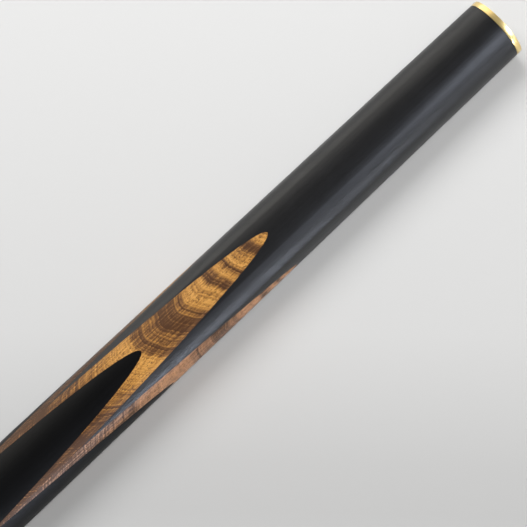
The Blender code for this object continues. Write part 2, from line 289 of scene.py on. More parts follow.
def stretch(tree, vector, x, y, z):
    """Scales a vector, so that a pattern gets long or fine along an axis."""
    settings = {"operation": "MULTIPLY"}
    factors = add(tree, "ShaderNodeCombineXYZ", X=x, Y=y, Z=z).outputs[0]
    return add(tree, "ShaderNodeVectorMath", settings, _0=vector, _1=factors).outputs[0]


def new_material(name):
    """A node material with its shader, and the tree that both are in."""
    material = bpy.data.materials.new(name)
    material.use_nodes = True
    tree = material.node_tree
    return material, tree, tree.nodes["Principled BSDF"]


def place_of(tree, turn=0.0, shift=(0, 0, 0)):
    """Object coordinates, turned about the cue's axis and shifted by a Mapping node."""
    coordinates = tree.nodes.new("ShaderNodeTexCoord").outputs["Object"]
    settings = {"vector_type": "POINT"}
    rotation = (turn, 0, 0)
    return add(
        tree, "ShaderNodeMapping", settings, Vector=coordinates, Rotation=rotation, Location=shift
    ).outputs[0]


def new_group(name, inputs, outputs):
    """A shader node group with named sockets. Inputs are (name, kind, default)."""
    tree = bpy.data.node_groups.new(name, "ShaderNodeTree")
    for title, kind, default in inputs:
        socket = tree.interface.new_socket(title, in_out="INPUT", socket_type=kind)
        socket.default_value = default
    for title in outputs:
        tree.interface.new_socket(title, in_out="OUTPUT", socket_type="NodeSocketFloat")
    source = tree.nodes.new("NodeGroupInput").outputs
    return tree, source, tree.nodes.new("NodeGroupOutput")


def use_group(tree, group, **inputs):
    """Places a group in a material and returns its outputs."""
    return add(tree, "ShaderNodeGroup", {"node_tree": group}, **inputs).outputs


def bump(tree, shader, height, strength, distance):
    """Lets a pattern tilt the surface. The distance is how deep its marks are."""
    node = add(tree, "ShaderNodeBump", Height=height, Strength=strength, Distance=distance)
    tree.links.new(node.outputs[0], shader.inputs["Normal"])


# %% [markdown]
# ## Effects that several finishes share
#
# **Fibres** are what makes wood look like wood close up: long streaks along the cue, broken by
# short dark pores. Noise is squeezed across the cue and drawn out along it. A wave texture would
# give streaks too, but they would be too even.

# %% Fibres and pores
VALUE, VECTOR = "NodeSocketFloat", "NodeSocketVector"
fibre_inputs = [
    ("Vector", VECTOR, (0, 0, 0)),
    ("Length", VALUE, 0.02),
    ("Width", VALUE, 0.0006),
]
fibres, source, result = new_group("wood_fibres", fibre_inputs, ["Streaks", "Pores", "Drift"])
along = maths(fibres, "DIVIDE", 1.0, source["Length"])
across = maths(fibres, "DIVIDE", 1.0, source["Width"])
drawn_out = stretch(fibres, source["Vector"], along, across, across)
streaks = noise(fibres, drawn_out, 1.0, 4.0, 0.62)
short = maths(fibres, "MULTIPLY", along, 9.0)
fine = maths(fibres, "MULTIPLY", across, 1.7)
pore_noise = noise(fibres, stretch(fibres, source["Vector"], short, fine, fine), 1.0, 1.0, 0.5)
drift = noise(fibres, stretch(fibres, source["Vector"], 9.0, 55.0, 55.0), 1.0, 2.0, 0.5)
fibres.links.new(remap(fibres, streaks, 0.28, 0.72), result.inputs["Streaks"])
fibres.links.new(remap(fibres, pore_noise, 0.56, 0.68), result.inputs["Pores"])
fibres.links.new(remap(fibres, drift, 0.3, 0.7), result.inputs["Drift"])

# %% [markdown]
# **Handling** is the faint unevenness of anything that has been wiped and held: soft patches that
# are a little duller. Only the roughness feels it, so it shows in reflections and not as dirt.

# %% Handling marks
handling, source, result = new_group("handling", [("Vector", VECTOR, (0, 0, 0))], ["Smudge"])
patches = noise(handling, source["Vector"], 70.0, 3.0, 0.6, 0.6)
handling.links.new(remap(handling, patches, 0.38, 0.68), result.inputs["Smudge"])

# %% [markdown]
# **Turning marks** are the fine rings a lathe tool leaves. On a round side they follow x, and on
# an end face they follow the distance from the axis. Both are noise along one line, added up.

# %% Turning marks
turning, source, result = new_group("turning_marks", [("Vector", VECTOR, (0, 0, 0))], ["Marks"])
parts = add(turning, "ShaderNodeSeparateXYZ", Vector=source["Vector"]).outputs
squares = maths(turning, "MULTIPLY_ADD", parts[1], parts[1], maths(turning, "POWER", parts[2], 2.0))
from_axis = maths(turning, "SQRT", squares)
line = add(turning, "ShaderNodeCombineXYZ", X=parts[0], Y=from_axis, Z=0.0).outputs[0]
turning.links.new(noise(turning, line, 9000.0, 2.0, 0.6), result.inputs["Marks"])
print("shared effects:", [group.name for group in bpy.data.node_groups])

# %% [markdown]
# ## Black wood
#
# The outer wood of the butt is a dense black wood, polished to a satin. It is nearly colourless,
# its fine fibres show only where light glances over them, and the polish makes one soft highlight.
# The inner strips are of a still darker wood with less shine. Each strip was sawn from another
# place in the plank, so each has its own shift of the pattern.

# %% Black wood material
BlackLook = namedtuple("BlackLook", "dark light roughness specular")
OUTER_BLACK = BlackLook((0.0024, 0.0024, 0.0028), (0.0056, 0.0056, 0.0065), 0.34, 0.36)
INNER_BLACK = BlackLook((0.0005, 0.0005, 0.0006), (0.0013, 0.0013, 0.0016), 0.42, 0.13)
PORE_BLACK = (0.001, 0.001, 0.001)


def black_wood(name, shift, look):
    material, tree, shader = new_material(name)
    place = place_of(tree, shift=(shift, shift * 0.37, shift * 0.61))
    grain = use_group(tree, fibres, Vector=place, Length=0.030, Width=0.00055)
    worn = use_group(tree, handling, Vector=place)
    tone = maths(tree, "MULTIPLY", grain["Streaks"], 0.55)
    tone = maths(tree, "MULTIPLY_ADD", grain["Drift"], 0.45, tone)
    colour = blend_colours(tree, tone, look.dark, look.light)
    pores = maths(tree, "MULTIPLY", grain["Pores"], 0.5)
    tree.links.new(blend_colours(tree, pores, colour, PORE_BLACK), shader.inputs["Base Color"])
    satin = maths(tree, "MULTIPLY_ADD", grain["Streaks"], 0.07, look.roughness)
    tree.links.new(maths(tree, "MULTIPLY_ADD", worn["Smudge"], 0.05, satin), shader.inputs["Roughness"])
    shader.inputs["Specular IOR Level"].default_value = look.specular
    height = maths(tree, "SUBTRACT", grain["Streaks"], grain["Pores"])
    bump(tree, shader, height, 0.16, 0.00006)
    return material


# %% [markdown]
# ## Golden wood
#
# The figured strips are sawn at a slant through the growth layers, so each dark layer comes out as
# an arc that bulges towards the butt. A layer is a tilted plane: x plus the height over the axis,
# divided by the tilt, is the same all over it. Near the tip of a strip the layers are listed as
# rows of distance from the tip in millimetres and darkness from 0 to 1. Further down they come
# from noise along the same line, and the wood gets browner towards the butt. Three strips are
# golden. The second, on the side towards the cool softboxes, is rosier, paler and of less contrast:
# partly its own board and partly a painted cool sheen.

# %% Growth layers
LAYER_TILT = 0.6
LAYER_SKEW = 0.28  # how much the layers also run across the strip
LAYER_WANDER = 0.0015
LAYER_FUZZ = 0.0003
LAYER_RUN = 0.060  # how far from the tip the layers are listed in rows
LAYERS_FROM_TIP = (
    (0.0, 0.40), (3.4, 0.12), (5.3, 0.60), (6.6, 0.92), (8.4, 0.60), (9.8, 0.30), (12.6, 0.25),
    (14.5, 0.03), (16.0, 0.55), (16.8, 0.90), (17.8, 0.45), (19.6, 0.04), (21.6, 0.50), (24.6, 0.88),
    (25.6, 0.40), (27.0, 0.10), (29.2, 0.36), (31.9, 0.06), (33.0, 0.28), (34.4, 0.20), (36.0, 0.75),
    (37.2, 0.52), (39.9, 0.78), (42.5, 0.82), (45.2, 0.90), (47.4, 0.52), (50.5, 0.62), (52.4, 0.48),
    (53.4, 0.90), (55.0, 0.58), (56.4, 0.80), (58.0, 0.30),
)


def layer_level(tree, place, moved, streaks):
    """A length along the cue that is the same all over one growth layer."""
    parts = add(tree, "ShaderNodeSeparateXYZ", Vector=place).outputs
    swirl = noise(tree, stretch(tree, moved, 60.0, 150.0, 90.0), 1.0, 1.0, 0.4)
    wander = maths(tree, "MULTIPLY_ADD", swirl, 2 * LAYER_WANDER, -LAYER_WANDER)
    sideways = maths(tree, "MULTIPLY", parts[1], LAYER_SKEW)
    level = maths(tree, "MULTIPLY_ADD", parts[2], 1 / LAYER_TILT, parts[0])
    level = maths(tree, "ADD", level, maths(tree, "ADD", wander, sideways))
    fuzz = maths(tree, "MULTIPLY_ADD", streaks, 2 * LAYER_FUZZ, -LAYER_FUZZ)
    return maths(tree, "ADD", level, fuzz)


def set_layers(tree, from_tip):
    """How dark the layers near the tip are, from the rows."""
    share = maths(tree, "DIVIDE", from_tip, LAYER_RUN)
    rows = [(distance / 1000 / LAYER_RUN, (tone,) * 3) for distance, tone in LAYERS_FROM_TIP]
    return ramp(tree, share, rows)


def wild_layers(tree, line, from_tip):
    """How dark the layers past the rows are: broad and narrow ones, on wood that gets browner."""
    broad = remap(tree, noise(tree, line, 95.0, 2.0, 0.6), 0.50, 0.68)
    narrow = remap(tree, noise(tree, line, 420.0, 1.0, 0.5), 0.56, 0.70)
    broad = maths(tree, "MULTIPLY", broad, 0.7)
    darker = maths(tree, "MAXIMUM", broad, maths(tree, "MULTIPLY", narrow, 0.5))
    browner = remap(tree, from_tip, LAYER_RUN, 1.7 * LAYER_RUN, 0.12, 0.86, smooth=False)
    return maths(tree, "MULTIPLY_ADD", darker, 0.6, browner)


# %% [markdown]
# The layers give one value, from pale to dark. Fine stripes along the layers and streaks along the
# grain are added to it, more where it is dark already, and a ramp turns the value to colour. Dark
# pores go over it, and a slow drift of the tone keeps it from looking even.

# %% Golden wood material
GoldLook = namedtuple("GoldLook", "pale middle deep darkest")
DARK_BROWN = (0.070, 0.030, 0.012)
GOLDEN = GoldLook((0.640, 0.330, 0.084), (0.450, 0.212, 0.048), (0.165, 0.073, 0.024), DARK_BROWN)
# rosier, bluer and of less contrast: partly the board's own tone, partly a painted cool sheen
ROSY_AND_SHEEN = GoldLook((0.580, 0.305, 0.155), (0.450, 0.225, 0.112), (0.290, 0.148, 0.078), DARK_BROWN)
MIDDLE_AT, DEEP_AT = 0.28, 0.66


def golden_wood(name, quarter, shift, look):
    material, tree, shader = new_material(name)
    place = place_of(tree, turn=-quarter * pi / 2)
    settings = {"operation": "ADD"}
    moved = add(tree, "ShaderNodeVectorMath", settings, _0=place, _1=(shift, shift * 0.4, 0)).outputs[0]
    grain = use_group(tree, fibres, Vector=moved, Length=0.0085, Width=0.00050)
    worn = use_group(tree, handling, Vector=moved)
    level = layer_level(tree, place, moved, grain["Streaks"])

    strip_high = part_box(f"figured_splice_{quarter + 1}")[1]
    tip_level = strip_high.x + butt_radius(strip_high.x) / LAYER_TILT
    from_tip = maths(tree, "SUBTRACT", tip_level + shift * 0.02, level)
    line = maths(tree, "ADD", level, shift)
    line = add(tree, "ShaderNodeCombineXYZ", X=line, Y=0.0, Z=0.0).outputs[0]
    past = remap(tree, from_tip, LAYER_RUN * 0.9, LAYER_RUN)
    near, far = set_layers(tree, from_tip), wild_layers(tree, line, from_tip)
    dark = add(tree, "ShaderNodeMix", {"data_type": "FLOAT"}, _0=past, _2=near, _3=far).outputs[0]

    stripes = noise(tree, line, 1300.0, 2.0, 0.55)
    stripes = maths(tree, "MULTIPLY", maths(tree, "SUBTRACT", stripes, 0.5), 2.6)
    streaks = maths(tree, "SUBTRACT", grain["Streaks"], 0.5)
    fine = maths(tree, "MULTIPLY_ADD", streaks, 0.75, stripes)
    fine_share = maths(tree, "MULTIPLY_ADD", dark, 0.55, 0.42)
    dark = maths(tree, "MULTIPLY_ADD", fine, fine_share, maths(tree, "MULTIPLY", dark, 1.12))
    stops = [(0.0, look.pale), (MIDDLE_AT, look.middle), (DEEP_AT, look.deep), (1.0, look.darkest)]
    colour = ramp(tree, dark, stops)

    pores = maths(tree, "MULTIPLY", grain["Pores"], 0.80)
    colour = blend_colours(tree, pores, colour, look.darkest)
    tone = maths(tree, "MULTIPLY_ADD", grain["Drift"], 0.22, 0.89)
    settings = {"operation": "SCALE"}
    toned = add(tree, "ShaderNodeVectorMath", settings, Vector=colour, Scale=tone).outputs[0]
    tree.links.new(toned, shader.inputs["Base Color"])
    satin = maths(tree, "MULTIPLY_ADD", grain["Pores"], 0.20, 0.40)
    satin = maths(tree, "MULTIPLY_ADD", worn["Smudge"], 0.06, satin)
    tree.links.new(satin, shader.inputs["Roughness"])
    shader.inputs["Specular IOR Level"].default_value = 0.20
    bump(tree, shader, maths(tree, "SUBTRACT", dark, grain["Pores"]), 0.14, 0.00006)
    return material


# %% [markdown]
# ## Ash
#
# The shaft is ash: pale, with rings of open pores. It is sawn so that the rings run almost along
# the cue, and where they leave the taper they draw long dark arrows. So the layers here tilt only
# a few degrees, and the pores are strung along them.

# %% Ash material
def ash_wood(name, shift):
    material, tree, shader = new_material(name)
    place = place_of(tree, shift=(shift, 0, 0))
    grain = use_group(tree, fibres, Vector=place, Length=0.026, Width=0.00042)
    worn = use_group(tree, handling, Vector=place)
    parts = add(tree, "ShaderNodeSeparateXYZ", Vector=place).outputs
    bow = noise(tree, stretch(tree, place, 3.2, 45.0, 45.0), 1.0, 2.0, 0.5)
    level = maths(tree, "MULTIPLY_ADD", parts[0], 0.030, parts[2])
    level = maths(tree, "MULTIPLY_ADD", parts[1], 0.24, level)
    level = maths(tree, "MULTIPLY_ADD", bow, 0.0042, level)
    ring = maths(tree, "PINGPONG", level, 0.00105)
    early = remap(tree, ring, 0.00030, 0.00005)
    early = maths(tree, "MULTIPLY", early, remap(tree, grain["Streaks"], 0.15, 0.75))
    colour = blend_colours(tree, grain["Streaks"], (0.50, 0.345, 0.185), (0.66, 0.49, 0.29))
    colour = blend_colours(tree, maths(tree, "MULTIPLY", early, 0.72), colour, (0.27, 0.155, 0.068))
    dark_pores = maths(tree, "MULTIPLY", grain["Pores"], maths(tree, "MULTIPLY_ADD", early, 0.75, 0.12))
    colour = blend_colours(tree, dark_pores, colour, (0.085, 0.043, 0.018))
    tree.links.new(colour, shader.inputs["Base Color"])
    satin = maths(tree, "MULTIPLY_ADD", early, 0.12, 0.34)
    tree.links.new(maths(tree, "MULTIPLY_ADD", worn["Smudge"], 0.07, satin), shader.inputs["Roughness"])
    shader.inputs["Specular IOR Level"].default_value = 0.45
    bump(tree, shader, maths(tree, "SUBTRACT", 1.0, dark_pores), 0.20, 0.00008)
    return material


# %% [markdown]
# ## Metals, rubber and leather
#
# Brass is a yellow metal, so its shader is fully metallic and its colour is what it reflects. The
# steel stud is the same with less colour. Both have turning marks and a little dullness where hands
# have been. The bumper is moulded rubber, matt and slightly pitted. The tip is pressed leather that
# is rubbed with chalk, so it has thin layers on its side and a dusty blue crown.
#
# Sunlight that bounces off the brass would leave a bright patch on the floor. So the metals are
# darker to light that a dull surface gathers, which the Light Path node tells apart.

# %% Metal, rubber and leather materials
SPILL_SHARE = 0.15


def turned_metal(name, bright, dull, roughness, mark_height):
    material, tree, shader = new_material(name)
    place = place_of(tree)
    marks = use_group(tree, turning, Vector=place)["Marks"]
    worn = use_group(tree, handling, Vector=place)
    share = maths(tree, "MULTIPLY_ADD", marks, 0.35, maths(tree, "MULTIPLY", worn["Smudge"], 0.4))
    path = add(tree, "ShaderNodeLightPath").outputs
    dim = [value * SPILL_SHARE for value in dull]
    colour = blend_colours(tree, share, bright, dull)
    colour = blend_colours(tree, path["Is Diffuse Ray"], colour, dim)
    tree.links.new(colour, shader.inputs["Base Color"])
    gloss = maths(tree, "MULTIPLY_ADD", worn["Smudge"], 0.10, roughness)
    tree.links.new(maths(tree, "MULTIPLY_ADD", marks, 0.06, gloss), shader.inputs["Roughness"])
    shader.inputs["Metallic"].default_value = 1.0
    bump(tree, shader, marks, mark_height, 0.00002)
    return material


def moulded_rubber():
    material, tree, shader = new_material("moulded_rubber")
    place = place_of(tree)
    worn = use_group(tree, handling, Vector=place)
    pits = noise(tree, place, 3200.0, 2.0, 0.6)
    scuffs = noise(tree, stretch(tree, place, 900.0, 160.0, 160.0), 1.0, 4.0, 0.7)
    grey = maths(tree, "MULTIPLY", remap(tree, scuffs, 0.52, 0.78), worn["Smudge"])
    colour = blend_colours(tree, grey, (0.012, 0.012, 0.012), (0.055, 0.053, 0.050))
    tree.links.new(colour, shader.inputs["Base Color"])
    tree.links.new(maths(tree, "MULTIPLY_ADD", pits, 0.2, 0.62), shader.inputs["Roughness"])
    shader.inputs["Specular IOR Level"].default_value = 0.35
    bump(tree, shader, maths(tree, "MULTIPLY_ADD", scuffs, 0.4, pits), 0.35, 0.00008)
    return material


def chalked_leather():
    material, tree, shader = new_material("chalked_leather")
    place = place_of(tree)
    worn = use_group(tree, handling, Vector=place)
    layers = noise(tree, stretch(tree, place, 5200.0, 260.0, 260.0), 1.0, 2.0, 0.6)
    nap = noise(tree, place, 4200.0, 4.0, 0.7)
    parts = add(tree, "ShaderNodeSeparateXYZ", Vector=place).outputs
    height = leather_high.x - leather_low.x
    crown = remap(tree, parts[0], leather_low.x + 0.35 * height, leather_low.x + 0.80 * height)
    chalk = maths(tree, "MULTIPLY", crown, maths(tree, "MULTIPLY_ADD", nap, 0.8, 0.45))
    side = blend_colours(tree, layers, (0.045, 0.030, 0.020), (0.155, 0.095, 0.055))
    dusty = blend_colours(tree, worn["Smudge"], (0.040, 0.105, 0.205), (0.110, 0.205, 0.330))
    tree.links.new(blend_colours(tree, chalk, side, dusty), shader.inputs["Base Color"])
    tree.links.new(maths(tree, "MULTIPLY_ADD", nap, 0.15, 0.80), shader.inputs["Roughness"])
    shader.inputs["Specular IOR Level"].default_value = 0.2
    bump(tree, shader, maths(tree, "MULTIPLY_ADD", layers, 0.6, nap), 0.45, 0.00010)
    return material


brass = turned_metal("polished_brass", (0.88, 0.68, 0.29), (0.72, 0.52, 0.21), 0.27, 0.25)
steel = turned_metal("turned_steel", (0.60, 0.60, 0.61), (0.40, 0.39, 0.38), 0.30, 0.35)
rubber = moulded_rubber()
leather = chalked_leather()
print("finishes so far:", len(bpy.data.materials))

# %% [markdown]
# ## The glued butt
#
# A hand-spliced butt is built from the middle outwards: an ash core planed to four long flats, four
# black strips, four golden strips planed at a steeper slope, and four short black strips over those.
# Then the whole is turned round. Each flat leaves the round surface along a curve, and that is the
# pointed outline that shows. So the strips are cut here from a turned blank by the same planes, and
# the points come out by themselves. A flat passes two known heights: the strip's low end, and the
# surface at its tip.

# %% Flats
GLUE_LINE = 0.00001
WOOD_SEGMENTS = 128
Flat = namedtuple("Flat", "x height slope")


def flat_through(low_x, low_height, high_x, high_height):
    """The flat that passes two heights over the axis."""
    return Flat(high_x, high_height, (high_height - low_height) / (high_x - low_x))


base_low, base_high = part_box("base_splice_1")
figured_low, figured_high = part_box("figured_splice_1")
core_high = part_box("butt_core")[1]
shaft_black_low, shaft_black_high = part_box("shaft_splice_1")
LAYER_GAP = ring_low.x - base_high.x
core_flat = flat_through(base_low.x, base_low.z, core_high.x, core_high.z + LAYER_GAP)
figured_flat = flat_through(
    figured_low.x, figured_low.z, figured_high.x, butt_radius(figured_high.x)
)
black_flat = flat_through(figured_low.x, black_low.z, black_high.x, butt_radius(black_high.x))
shaft_flat = flat_through(
    shaft_black_low.x, shaft_black_low.z, shaft_black_high.x, shaft_radius(shaft_black_high.x)
)
print("tips at", round(figured_high.x, 4), round(black_high.x, 4), round(shaft_black_high.x, 4))

# %% [markdown]
# A strip is a quarter of the blank, so it is cut by two planes through the axis at 45 degrees, by
# the flat under it, and by the flat over it if another strip covers it. It is cut with its middle
# at +Z and then turned to its own quarter. Neighbours stay a hair apart, which is the glue line.

# %% Cutting a strip
def cut_at_flat(bm, flat, side):
    """Cuts along a flat that faces +Z. Side 1 keeps what lies under it, -1 what lies over it."""
    normal = Vector((-flat.slope, 0, 1)).normalized()
    point = Vector((flat.x, 0, flat.height))
    if side == 1:
        point -= GLUE_LINE * normal
    cut(bm, point, side * normal)


def turn_by_quarters(bm, quarters):
    turn = Matrix.Rotation(quarters * pi / 2, 3, "X")
    bmesh.ops.rotate(bm, verts=bm.verts, cent=(0, 0, 0), matrix=turn)


def quarter_strip(blank, under, over, quarter):
    """One glued strip: the quarter of a blank over one flat and, where given, under another."""
    bm = blank.copy()
    for side in (1, -1):
        mitre = Vector((0, side, -1)).normalized()
        cut(bm, -GLUE_LINE / 2 * mitre, mitre)
    cut_at_flat(bm, under, -1)
    if over:
        cut_at_flat(bm, over, 1)
    turn_by_quarters(bm, quarter)
    return bm


# %% [markdown]
# The black strips start at the end collar and are bored for the brass insert of the butt end, so
# their blank is a turned cup. The other strips start where the bore ends.

# %% Butt strips
SEAM = 0.00012
end_ring_low, end_ring_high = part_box("end_collar")
end_insert_low, end_insert_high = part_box("end_insert")
END_INSERT_RADIUS = end_insert_high.z / cos(pi / METAL_SIDES)
wood_start = end_ring_high.x + SEAM
wood_end = ring_low.x - SEAM
bore = END_INSERT_RADIUS + GLUE_LINE
cup = turned(
    [
        (figured_low.x, 0),
        (figured_low.x, bore),
        (wood_start, bore),
        (wood_start, butt_radius(wood_start)),
        (wood_end, butt_radius(wood_end)),
        (wood_end, 0),
    ],
    WOOD_SEGMENTS,
)
rod = turned(
    [
        (figured_low.x, 0),
        (figured_low.x, butt_radius(figured_low.x)),
        (wood_end, butt_radius(wood_end)),
        (wood_end, 0),
    ],
    WOOD_SEGMENTS,
)
for quarter in range(4):
    number = quarter + 1
    outer = black_wood(f"outer_black_{number}", 0.31 * number, OUTER_BLACK)
    # the second strip gets the rosier look with its painted cool sheen
    golden = golden_wood(f"golden_{number}", quarter, 0.47 * quarter, ROSY_AND_SHEEN if number == 2 else GOLDEN)
    inner = black_wood(f"inner_black_{number}", 0.23 * number, INNER_BLACK)
    strips = (
        ("outer_black_strip", "base_splice", rod, core_flat, figured_flat, outer, "black_wood"),
        ("golden_strip", "figured_splice", rod, figured_flat, black_flat, golden, "figured_wood"),
        ("inner_black_strip", "black_splice", cup, black_flat, None, inner, "deep_black_wood"),
    )
    for name, node, blank, under, over, material, slot in strips:
        strip = quarter_strip(blank, under, over, quarter)
        finish_piece(strip, f"{name}_{number}", "butt", [f"{node}_{number}"], material)
rod.free()
cup.free()

# %% [markdown]
# The ash core is out of sight inside its strips, so its solid stays as it is and only gets the ash.
#
# ## The ash shaft and its four points
#
# The shaft is made in the same way from a blank with the curved taper, with four black strips at
# its thick end. A seat is bored for the brass pin, and the thin end has a spigot for the ferrule.

# %% Shaft wood
ash = ash_wood("ash", 0.0)
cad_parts["butt_core"].material_slots[0].material = ash

pin_low, pin_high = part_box("joint_pin")
FERRULE_WALL = 0.0010
FERRULE_TOP = 0.0015
SHAFT_STATIONS = 40
shaft_start = shaft_ring_high.x + SEAM
shaft_end = ferrule_low.x - GLUE_LINE
spigot_end = ferrule_high.x - FERRULE_TOP - GLUE_LINE
spigot = TIP_RADIUS - FERRULE_WALL - GLUE_LINE
run = shaft_end - shaft_start
stations = [shaft_start + run * i / SHAFT_STATIONS for i in range(SHAFT_STATIONS + 1)]
pin_bore = pin_high.z + GLUE_LINE
outline = [(pin_high.x, 0), (pin_high.x, pin_bore), (shaft_start, pin_bore)]
outline += [(x, shaft_radius(x)) for x in stations]
outline += [(shaft_end, spigot), (spigot_end, spigot), (spigot_end, 0)]
shaft_blank = turned(outline, WOOD_SEGMENTS)
middle = shaft_blank.copy()
for _ in range(4):
    cut_at_flat(middle, shaft_flat, 1)
    turn_by_quarters(middle, 1)
finish_piece(middle, "ash_shaft_wood", "shaft", ["ash_shaft"], ash)
for quarter in range(4):
    number = quarter + 1
    wood = black_wood(f"shaft_black_{number}", 0.19 * number, OUTER_BLACK)
    strip = quarter_strip(shaft_blank, shaft_flat, None, quarter)
    name, node = f"shaft_black_point_{number}", f"shaft_splice_{number}"
    finish_piece(strip, name, "shaft", [node], wood)
shaft_blank.free()

# %% [markdown]
# ## Brass rings and ferrule
#
# The rings cap the wood at the joint and at the butt end. Each was faced and its rims eased with a
# file, so after the spin a fine bevel goes round the rims. That thin rounded rim is what catches
# the light on real brass. The ferrule is a cup that holds the wood's spigot.

# %% Rings and ferrule
RIM = 0.00016
METAL_SEGMENTS = 128
insert_low, insert_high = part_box("butt_joint_insert")
JOINT_INSERT_RADIUS = insert_high.z / cos(pi / METAL_SIDES)


def ring(low_x, high_x, bore_radius, radius_at, name, body, node):
    """A faced ring with eased rims."""
    profile = [
        (low_x, bore_radius),
        (low_x, radius_at(low_x)),
        (high_x, radius_at(high_x)),
        (high_x, bore_radius),
    ]
    bm = turned(profile, METAL_SEGMENTS, closed=True)
    ease_edges(bm, RIM)
    finish_piece(bm, name, body, [node], brass)


joint_bore = JOINT_INSERT_RADIUS + GLUE_LINE
ring(ring_low.x, ring_high.x, joint_bore, butt_radius, "joint_ring", "butt", "butt_joint_collar")
ring(end_ring_low.x, end_ring_high.x, bore, butt_radius, "end_ring", "butt", "end_collar")
ring(
    shaft_ring_low.x,
    shaft_ring_high.x,
    pin_bore,
    shaft_radius,
    "shaft_joint_ring",
    "shaft_collar",
    "shaft_joint_collar",
)
cup_bore = TIP_RADIUS - FERRULE_WALL
cup_profile = [
    (ferrule_low.x, cup_bore),
    (ferrule_low.x, shaft_radius(ferrule_low.x)),
    (ferrule_high.x, TIP_RADIUS),
    (ferrule_high.x, 0),
    (ferrule_high.x - FERRULE_TOP, 0),
    (ferrule_high.x - FERRULE_TOP, cup_bore),
]
cup = turned(cup_profile, METAL_SEGMENTS, closed=True)
ease_edges(cup, RIM / 2)
finish_piece(cup, "brass_ferrule", "shaft", ["ferrule"], brass)

# %% [markdown]
# ## Threads
#
# A thread is a ridge that runs round a rod on a helix. One pitch of the ridge's outline is spun
# with a steady step along the axis, and each turn meets the next, so the doubles are merged. The
# shell is then cut square at both ends and closed. A nut is the same shell inside an outer wall.
# Where a thread starts, its crest is turned down to a cone so that the two halves find each other.

# %% Thread helpers
Thread = namedtuple("Thread", "radius depth pitch")
joint_thread = Thread(pin_high.z, 0.00115, 0.00254)
stud_thread = Thread(0.00397, 0.00085, 0.001814)
START_DROP = 0.0002  # how far under the root a rod's first crest is turned down
THREAD_SEGMENTS = 48
LAND_SHARE = 0.25  # of the pitch: the flat on a crest and the flat in a root
NUT_LIFT = 0.00015
NUT_PLAY_SHARE = 1 / 16  # of the pitch


def helix_shell(start, end, thread, for_nut=False):
    """The open skin of a right-hand thread, cut square at both ends."""
    lift = NUT_LIFT if for_nut else 0.0
    play = thread.pitch * NUT_PLAY_SHARE if for_nut else 0.0
    pitch = thread.pitch
    crest = thread.radius + lift
    root = thread.radius - thread.depth + lift
    half_crest = pitch * LAND_SHARE / 2 + play
    half_root = pitch * LAND_SHARE / 2 - play
    first = (int(start / pitch) - 2) * pitch
    turns = int((end - start) / pitch) + 5
    profile = [
        (first - pitch / 2, root),
        (first - pitch / 2 + half_root, root),
        (first - half_crest, crest),
        (first + half_crest, crest),
        (first + pitch / 2 - half_root, root),
        (first + pitch / 2, root),
    ]
    bm = bmesh.new()
    verts = [bm.verts.new((x, 0, radius)) for x, radius in profile]
    edges = [bm.edges.new(pair) for pair in zip(verts, verts[1:])]
    bmesh.ops.spin(
        bm,
        geom=verts + edges,
        cent=(0, 0, 0),
        axis=(1, 0, 0),
        dvec=(pitch / THREAD_SEGMENTS, 0, 0),
        angle=turns * tau,
        steps=turns * THREAD_SEGMENTS,
    )
    bmesh.ops.remove_doubles(bm, verts=bm.verts, dist=SAME_POINT)
    for x, side in ((start, -1), (end, 1)):
        everything = bm.verts[:] + bm.edges[:] + bm.faces[:]
        bmesh.ops.bisect_plane(
            bm,
            geom=everything,
            dist=SAME_POINT,
            plane_co=(x, 0, 0),
            plane_no=(side, 0, 0),
            clear_outer=True,
        )
    return bm


def cone_end(bm, mouth_x, mouth_radius, inwards, keep_under):
    """Turns a thread's start to a 45 degree cone: crests down on a rod, or opened out in a nut."""
    for vert in bm.verts:
        depth = (vert.co.x - mouth_x) * inwards
        radius = hypot(vert.co.y, vert.co.z)
        limit = mouth_radius + depth if keep_under else mouth_radius - depth
        if (radius > limit) if keep_under else (radius < limit):
            vert.co.yz = vert.co.yz * (limit / radius)


def add_wall(bm, profile):
    """Spins an open wall from (x, radius) points into a mesh that already holds a thread."""
    verts = [bm.verts.new((x, 0, radius)) for x, radius in profile]
    edges = [bm.edges.new(pair) for pair in zip(verts, verts[1:])]
    bmesh.ops.spin(
        bm,
        geom=verts + edges,
        cent=(0, 0, 0),
        axis=(1, 0, 0),
        angle=tau,
        steps=THREAD_SEGMENTS,
        use_merge=True,
    )
    bmesh.ops.remove_doubles(bm, verts=bm.verts, dist=SAME_POINT)


def close_end(bm, x):
    """Fills the flat end at x, between whatever open loops lie in it."""
    rim = [
        edge
        for edge in bm.edges
        if edge.is_boundary and all(abs(vert.co.x - x) < SAME_POINT for vert in edge.verts)
    ]
    bmesh.ops.triangle_fill(bm, use_beauty=True, use_dissolve=False, edges=rim)


# %% [markdown]
# The joint's pin stands in the shaft section: thread, then a short neck, then a plain shank that is
# glued into the wood. Its socket is the threaded brass insert in the butt section. The bumper has
# a steel stud with a round head that is held in the rubber, and the butt's end has its insert.

# %% Pin, stud and inserts
PIN_NECK_LENGTH = 0.0024
NECK_RELIEF = 0.00012
SHANK_CHAMFER = 0.0004
stud_low, stud_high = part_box("bumper_stud")
pad_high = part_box("bumper_pad")[1]
STUD_HEAD_THICKNESS = 0.0018
STUD_HEAD_SIDES = 12

root = joint_thread.radius - joint_thread.depth
neck_start = shaft_ring_low.x - PIN_NECK_LENGTH
pin = helix_shell(pin_low.x, neck_start, joint_thread)
cone_end(pin, pin_low.x, root - START_DROP, 1, True)
shank_wall = [
    (neck_start, root - NECK_RELIEF),
    (shaft_ring_low.x, root - NECK_RELIEF),
    (shaft_ring_low.x, joint_thread.radius - SHANK_CHAMFER),
    (shaft_ring_low.x + SHANK_CHAMFER, joint_thread.radius),
    (pin_high.x - SHANK_CHAMFER, joint_thread.radius),
    (pin_high.x, joint_thread.radius - SHANK_CHAMFER),
]
add_wall(pin, shank_wall)
for x in (pin_low.x, neck_start, pin_high.x):
    close_end(pin, x)
finish_piece(pin, "threaded_pin", "shaft", ["joint_pin"], brass)

